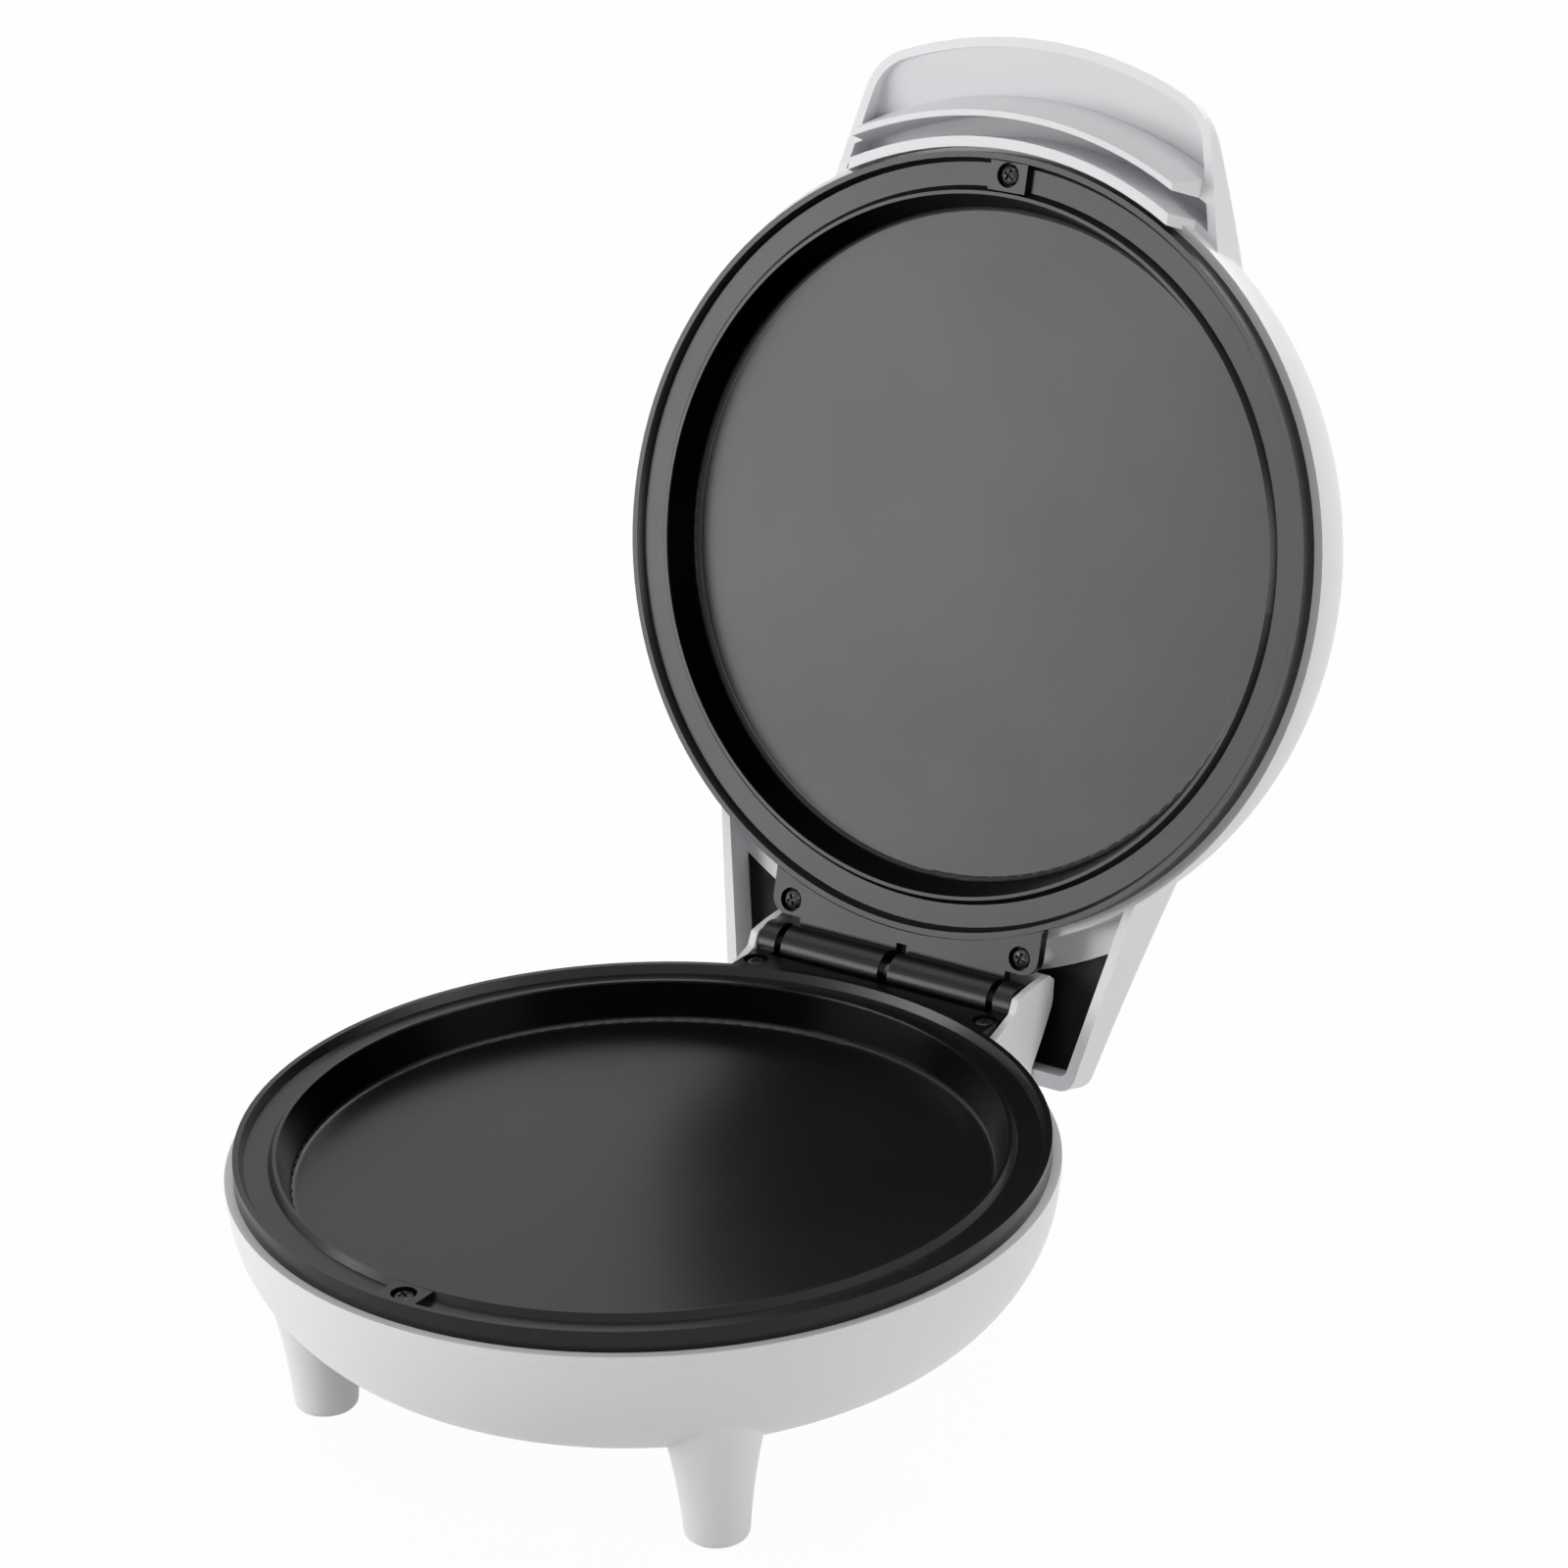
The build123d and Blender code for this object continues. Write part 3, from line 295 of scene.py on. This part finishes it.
def natural_nylon():
    """Uncoloured nylon: creamy and slightly clouded."""
    finish = Finish("natural_nylon", Subsurface_Weight=0.15, Subsurface_Scale=0.002)
    cloud = finish.noise(size=0.008, detail=3.0)
    finish.colour(finish.blend(cloud, (0.74, 0.71, 0.62), (0.80, 0.78, 0.71)))
    finish.roughness(cloud, low=0.38, high=0.52)
    finish.relief(finish.noise(size=0.0008), depth=0.00002, strength=0.4)
    return finish.material


def clear_plastic(name, colour, weight):
    """Tinted clear plastic: deeper colour in clouds, with a faintly uneven surface."""
    deeper = tuple(0.75 * c for c in colour)
    finish = Finish(name, Transmission_Weight=weight, IOR=1.49)
    cloud = finish.noise(size=0.003)
    finish.colour(finish.blend(cloud, colour, deeper))
    finish.roughness(cloud, low=0.06, high=0.16)
    finish.relief(finish.noise(size=0.0012), depth=0.00002, strength=0.3)
    return finish.material


finishes = {
    "white_shell": moulded_white(),
    "coated_plate": nonstick_coat_with_painted_shade("base_coat", (0, 0, 0), in_base((0, 0, 0))),
    "black_screw": blackened_steel(),
    "rubber_foot": soft_rubber(),
    "steel_pin": turned_steel("pin_steel", level=0.52, rough=0.28, pitch=0.0004),
    "steel_sheath": turned_steel(
        "sheath_steel", level=0.30, rough=0.42, pitch=0.0008, tint=(1.0, 0.90, 0.78)
    ),
    "zinc_strip": spangled_sheet("zinc_strip", level=0.62, rough=0.32, size=0.002),
    "bright_sheet": spangled_sheet("bright_sheet", level=0.78, rough=0.20, size=0.006),
    "switch_metal": spangled_sheet("switch_metal", level=0.66, rough=0.26, size=0.001),
    "black_plastic": black_moulding(),
    "pale_nylon": natural_nylon(),
    "red_lens": clear_plastic("red_lens", (0.62, 0.02, 0.015), weight=0.55),
    "green_lens": clear_plastic("green_lens", (0.02, 0.40, 0.08), weight=0.55),
    "lamp_glass": clear_plastic("lamp_glass", (0.90, 0.84, 0.76), weight=0.85),
}

node_slots = {part["node"]: part["material_slot"] for part in frame["record"]["subparts"]}
for name, node in frame["nodes"].items():
    for slot in node.material_slots:
        slot.material = finishes[node_slots[name]]

# The lid's plate has its own copy of the coat, because its pan's axis lies elsewhere
lid_coat = nonstick_coat_with_painted_shade("lid_coat", (-open_angle, 0, 0), in_lid((0, 0, 0)))
frame["nodes"]["lid_plate"].material_slots[0].material = lid_coat


# New pieces, each a grid of points


def sheet_of_quads(rows, columns):
    """Corner numbers of the quads between neighbouring rows, with each row closed on itself."""
    row = np.arange(rows - 1)[:, None] * columns
    column = np.arange(columns)[None, :]
    after = (column + 1) % columns
    quads = [row + column, row + after, row + columns + after, row + columns + column]
    return np.stack(quads, -1).reshape(-1, 4)


def build(name, grids, place, slot, sharp_angle, wear=None):
    """A mesh from closed rings. A grid is rows x columns x 3, and its end rows close to a point."""
    points, corners, totals, offset = [], [], [], 0
    for grid in grids:
        rows, columns = grid.shape[:2]
        first_pole = rows * columns
        poles = np.stack([grid[0].mean(0), grid[-1].mean(0)])
        points.append(np.concatenate([grid.reshape(-1, 3), poles]))
        quads = sheet_of_quads(rows, columns)
        ring = np.arange(columns)
        after = (ring + 1) % columns
        last = (rows - 1) * columns
        start = np.stack([np.full(columns, first_pole), after, ring], -1)
        end = np.stack([np.full(columns, first_pole + 1), last + ring, last + after], -1)
        triangles = np.concatenate([start, end])
        corners += [quads.ravel() + offset, triangles.ravel() + offset]
        totals += [np.full(len(quads), 4), np.full(len(triangles), 3)]
        offset += first_pole + len(poles)
    points, corners, totals = map(np.concatenate, (points, corners, totals))
    mesh = bpy.data.meshes.new(name)
    mesh.vertices.add(len(points))
    mesh.vertices.foreach_set("co", place(points).astype(np.float32).ravel())
    mesh.loops.add(len(corners))
    mesh.loops.foreach_set("vertex_index", corners.astype(np.int32))
    mesh.polygons.add(len(totals))
    mesh.polygons.foreach_set("loop_start", (np.cumsum(totals) - totals).astype(np.int32))
    mesh.update(calc_edges=True)
    mesh.validate()
    mesh.polygons.foreach_set("use_smooth", np.ones(len(mesh.polygons), bool))
    mesh.set_sharp_from_angle(angle=math.radians(sharp_angle))
    if wear is not None:
        attribute = mesh.attributes.new("wear", "FLOAT", "POINT")
        attribute.data.foreach_set("value", wear.astype(np.float32))
    piece = bpy.data.objects.new(name, mesh)
    bpy.context.scene.collection.objects.link(piece)
    mesh.materials.append(finishes[slot])
    return piece


def turned(profile, places):
    """Lathe: a profile point (radius, level) becomes a ring round the upright through a place."""
    columns = 72
    angle = np.linspace(0, 2 * np.pi, columns, endpoint=False)
    radius, level = np.asarray(profile, float).T
    ring = np.stack([np.cos(angle), np.sin(angle)], -1)
    grid = np.empty((len(radius), columns, 3))
    grid[..., :2] = radius[:, None, None] * ring[None]
    grid[..., 2] = level[:, None]
    return [grid + np.array([x, y, 0.0]) for x, y in places]


def arc(centre, radius, start, end, steps):
    """Points on a circle from one angle to another, in degrees."""
    angle = np.radians(np.linspace(start, end, steps))
    return np.stack([centre[0] + radius * np.cos(angle), centre[1] + radius * np.sin(angle)], -1)


def cross_screws(name, node, body, place):
    """Pan-head screws with a cross recess.

    The head's level over radius r is a rounded curve, height * (1 - (1 - (r / R)^p)^(1 / p)).
    Grid lines run along the edges of the four arms, at a set distance d from each arm's middle,
    so their angle at radius r is asin(d / r), up to a widest angle near the axis. Between the
    arms they are evenly spaced. Points on the arms' floor are lowered by the recess, which gets
    shallower outwards. The rim of the head and the lips of the recess are the worn places."""
    head, height, power = 2.9, 1.9, 3.0
    shank, length, tip = 1.5, 9.0, 0.3
    half_top, half_floor, arm = 0.46, 0.30, 1.75
    widest_top, widest_floor = map(math.radians, (41, 33))
    depth, shallowing = 1.05, 0.35
    rim_radius, rim_spread, rim_wear = 0.88 * head, 0.35, 0.55
    lip_width, lip_wear = 0.2, 0.6
    head_drop = 0.3
    spins = (0.5, 1.1, 0.25)

    radius = np.concatenate(
        [
            np.linspace(0.12, 0.6, 5),
            np.linspace(0.66, 1.55, 8),
            [arm - 0.1, arm, arm + 0.15],
            head * np.sin(np.radians(np.linspace(45, 90, 14))),
        ]
    )
    top = np.arcsin(np.minimum(half_top / radius, math.sin(widest_top)))
    floor = np.arcsin(np.minimum(half_floor / radius, math.sin(widest_floor)))
    between = np.linspace(0, 1, 9)[1:-1]
    gap = top[:, None] + (np.pi / 2 - 2 * top)[:, None] * between
    columns = [-top, -floor, -floor / 2, 0 * floor, floor / 2, floor, top]
    quarter = np.concatenate([np.stack(columns, -1), gap], -1)
    angle = np.concatenate([quarter + k * np.pi / 2 for k in range(4)], -1)
    radius = radius[:, None]

    on_floor = np.concatenate([[0], np.ones(len(columns) - 2), [0], np.zeros(len(between))])
    in_arm = np.tile(on_floor, 4)[None, :] * (radius < arm - 0.05)
    in_middle = radius < half_top * math.sqrt(2)
    lowered = np.maximum(in_arm, in_middle) * depth * (1 - shallowing * radius / arm)
    crown = height * (1 - (1 - (radius / head) ** power) ** (1 / power))
    grid = np.stack([radius * np.cos(angle), radius * np.sin(angle), crown + lowered], -1)

    ring = grid[-1, :, :2] / np.linalg.norm(grid[-1, :, :2], axis=-1, keepdims=True)
    under = [(shank, height), (shank, height + length - shank), (tip, height + length)]
    tail = [np.concatenate([r * ring, np.full((len(ring), 1), z)], -1) for r, z in under]
    whole = np.concatenate([grid, tail])

    rim = np.exp(-(((radius - rim_radius) / rim_spread) ** 2))
    near_lip = np.abs(np.abs(np.sin(2 * angle)) * radius - half_top) < lip_width
    head_wear = np.clip(rim_wear * rim + lip_wear * (near_lip & (lowered == 0)), 0, 1)
    unworn = np.zeros(len(tail) * len(ring) + 2)  # the shank and the two end points
    wear = np.concatenate([head_wear.ravel(), unworn])

    grids = []
    for (x, y, seat), spin in zip(screw_places, spins):
        c, s = math.cos(spin), math.sin(spin)
        spun = whole @ np.array([[c, s, 0], [-s, c, 0], [0, 0, 1]])
        grids.append(spun + np.array([x, y, seat + head_drop]))
    piece = build(name, grids, place, "black_screw", 35.0, np.tile(wear, len(grids)))
    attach(piece, body)
    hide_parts(node)


def grip_feet():
    """Rubber feet turned from one profile: a rounded edge and two grip grooves in the sole."""
    radius, height, proud = 5.6, 3.0, 0.8
    middle, rounding = 0.4, 0.5
    grooves, groove_depth, half_mouth, half_bottom = (4.0, 2.2), 0.4, 0.45, 0.25
    top, sole = stand_height - height, stand_height
    profile = [(middle, top), (radius, top), (radius, sole - proud)]
    profile += arc((radius - rounding, sole - rounding), rounding, 0, 90, 6).tolist()
    for groove in grooves:
        profile += [(groove + half_mouth, sole), (groove + half_bottom, sole - groove_depth)]
        profile += [(groove - half_bottom, sole - groove_depth), (groove - half_mouth, sole)]
    profile += [(middle, sole)]
    piece = build("grip_feet", turned(profile[::-1], leg_places), in_base, "rubber_foot", 50.0)
    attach(piece, "base")
    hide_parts("foot_pads")


def domed_lens(name, node, slot, place):
    """A window turned from one profile: a low dome on a bevelled flange, with a body behind it."""
    flange, rise, body_radius, body_length = 5.2, 1.2, 4.0, 4.8
    middle, dome_radius, dome_sag = 0.3, 4.0, 0.35
    bevel, bevel_drop, lift = 0.7, 0.95, 0.02
    top, seat, end = shell_depth + rise, shell_depth + lift, shell_depth - body_length
    radii = np.linspace(middle, dome_radius, 9)
    profile = [(r, top - dome_sag * (r / dome_radius) ** 2) for r in radii]
    profile += arc((flange - bevel, top - bevel_drop), bevel, 75, 0, 7).tolist()
    profile += [(flange, seat), (body_radius, seat), (body_radius, end), (middle, end)]
    piece = build(name, turned(profile[::-1], [place]), in_lid, slot, 40.0)
    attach(piece, "lid")
    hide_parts(node)


cross_screws("base_cross_screws", "base_plate_screws", "base", in_base)
cross_screws("lid_cross_screws", "lid_plate_screws", "lid", in_lid)
grip_feet()
domed_lens("power_window", "power_lens", "red_lens", lens_places[0])
domed_lens("ready_window", "ready_lens", "green_lens", lens_places[1])


# Camera, at the photograph's viewing angle

picture_width = 1600.0
focal_pixels = 5919.1
axis_pixel = (646.83, 950.81)
azimuth, elevation, roll = map(math.radians, (36.658, 24.65, -2.24))
aim_height = 0.1338
distance = 1.53184
look_at = Vector((0.0, hinge_point[1] - hinge_y / 1000, aim_height))
back = Vector(
    (
        math.sin(azimuth) * math.cos(elevation),
        -math.cos(azimuth) * math.cos(elevation),
        math.sin(elevation),
    )
)
level_right = Vector((math.cos(azimuth), math.sin(azimuth), 0.0))
level_up = back.cross(level_right)
right = level_right * math.cos(roll) + level_up * math.sin(roll)
up = level_up * math.cos(roll) - level_right * math.sin(roll)
turn = Matrix((right, up, back)).transposed().to_4x4()
camera = bpy.data.objects.new("camera", bpy.data.cameras.new("camera"))
camera.data.sensor_width = 36.0
camera.data.lens = focal_pixels / picture_width * camera.data.sensor_width
camera.data.shift_x = (picture_width / 2 - axis_pixel[0]) / picture_width
camera.data.shift_y = (axis_pixel[1] - picture_width / 2) / picture_width
camera.data.clip_start = 0.05
camera.data.clip_end = 60.0
camera.matrix_world = Matrix.Translation(look_at + back * distance) @ turn
bpy.context.scene.collection.objects.link(camera)
bpy.context.scene.camera = camera


# Studio: a white floor, a white surround and soft lamps


def white_to_the_eye(tree, lit, white, share, end):
    """Puts a share of white over lit for camera, glossy and transmission rays."""
    path = tree.nodes.new("ShaderNodeLightPath")
    seen = path.outputs["Is Camera Ray"]
    for other in ("Is Glossy Ray", "Is Transmission Ray"):
        either = tree.nodes.new("ShaderNodeMath")
        either.operation = "MAXIMUM"
        tree.links.new(seen, either.inputs[0])
        tree.links.new(path.outputs[other], either.inputs[1])
        seen = either.outputs[0]
    scaled = tree.nodes.new("ShaderNodeMath")
    scaled.operation = "MULTIPLY"
    scaled.inputs[1].default_value = share
    tree.links.new(seen, scaled.inputs[0])
    mix = tree.nodes.new("ShaderNodeMixShader")
    for socket, output in zip(mix.inputs, (scaled.outputs[0], lit, white)):
        tree.links.new(output, socket)
    tree.links.new(mix.outputs[0], end)


def studio_floor():
    """A wide floor, nearly white to the eye, whose own tone drifts very slightly."""
    half_width = 12.0
    tones = (0.70, 0.74)
    drift_scale = 1.2
    white_share = 0.97
    material = bpy.data.materials.new("studio_floor")
    material.use_nodes = True
    tree = material.node_tree
    shader = tree.nodes["Principled BSDF"]
    shader.inputs["Roughness"].default_value = 0.9
    shader.inputs["Specular IOR Level"].default_value = 0.1
    coordinates = tree.nodes.new("ShaderNodeTexCoord")
    drift = tree.nodes.new("ShaderNodeTexNoise")
    drift.inputs["Scale"].default_value = drift_scale
    ramp = tree.nodes.new("ShaderNodeValToRGB")
    for stop, tone in zip(ramp.color_ramp.elements, tones):
        stop.color = (tone, tone, tone, 1)
    tree.links.new(coordinates.outputs["Object"], drift.inputs["Vector"])
    tree.links.new(drift.outputs["Fac"], ramp.inputs["Fac"])
    tree.links.new(ramp.outputs["Color"], shader.inputs["Base Color"])
    glow = tree.nodes.new("ShaderNodeEmission")
    glow.inputs["Strength"].default_value = 1.0
    surface = tree.nodes["Material Output"].inputs["Surface"]
    white_to_the_eye(tree, shader.outputs[0], glow.outputs[0], white_share, surface)
    corners = [(-1, -1, 0), (1, -1, 0), (1, 1, 0), (-1, 1, 0)]
    points = [(half_width * x, half_width * y, z) for x, y, z in corners]
    mesh = bpy.data.meshes.new("floor")
    mesh.from_pydata(points, [], [(0, 1, 2, 3)])
    mesh.materials.append(material)
    floor = bpy.data.objects.new("floor", mesh)
    bpy.context.scene.collection.objects.link(floor)


def surround(ambient):
    """White to the eye and in reflections, and a plain ambient level for everything else."""
    world = bpy.data.worlds.new("surround")
    bpy.context.scene.world = world
    world.use_nodes = True
    tree = world.node_tree
    plain = tree.nodes["Background"]
    white = tree.nodes.new("ShaderNodeBackground")
    for background, strength in ((plain, ambient), (white, 1.0)):
        background.inputs["Color"].default_value = (1, 1, 1, 1)
        background.inputs["Strength"].default_value = strength
    surface = tree.nodes["World Output"].inputs["Surface"]
    white_to_the_eye(tree, plain.outputs[0], white.outputs[0], 1.0, surface)


def lamp(name, place, size, level):
    """A soft rectangular lamp facing the object; level is its brightness as a white surface's."""
    object_middle = Vector((0, 0, 0.12))
    light = bpy.data.lights.new(name, "AREA")
    light.shape = "RECTANGLE"
    light.size, light.size_y = size
    light.energy = level * math.pi * size[0] * size[1]
    holder = bpy.data.objects.new(name, light)
    holder.rotation_mode = "QUATERNION"
    holder.rotation_quaternion = (object_middle - Vector(place)).to_track_quat("-Z", "Y")
    holder.location = place
    bpy.context.scene.collection.objects.link(holder)


studio_floor()
surround(ambient=0.28)
lamp("front_left_lamp", place=(-1.52, -1.55, 0.45), size=(1.6, 1.0), level=6.5)
lamp("right_lamp", place=(2.1, -0.1, 0.45), size=(1.2, 1.2), level=3.7)
lamp("overhead_lamp", place=(-0.3, 0.1, 2.0), size=(1.6, 1.6), level=1.0)
lamp("back_lamp", place=(0.1, 1.9, 1.3), size=(1.4, 1.2), level=4.0)

bpy.context.scene.view_settings.view_transform = "Standard"
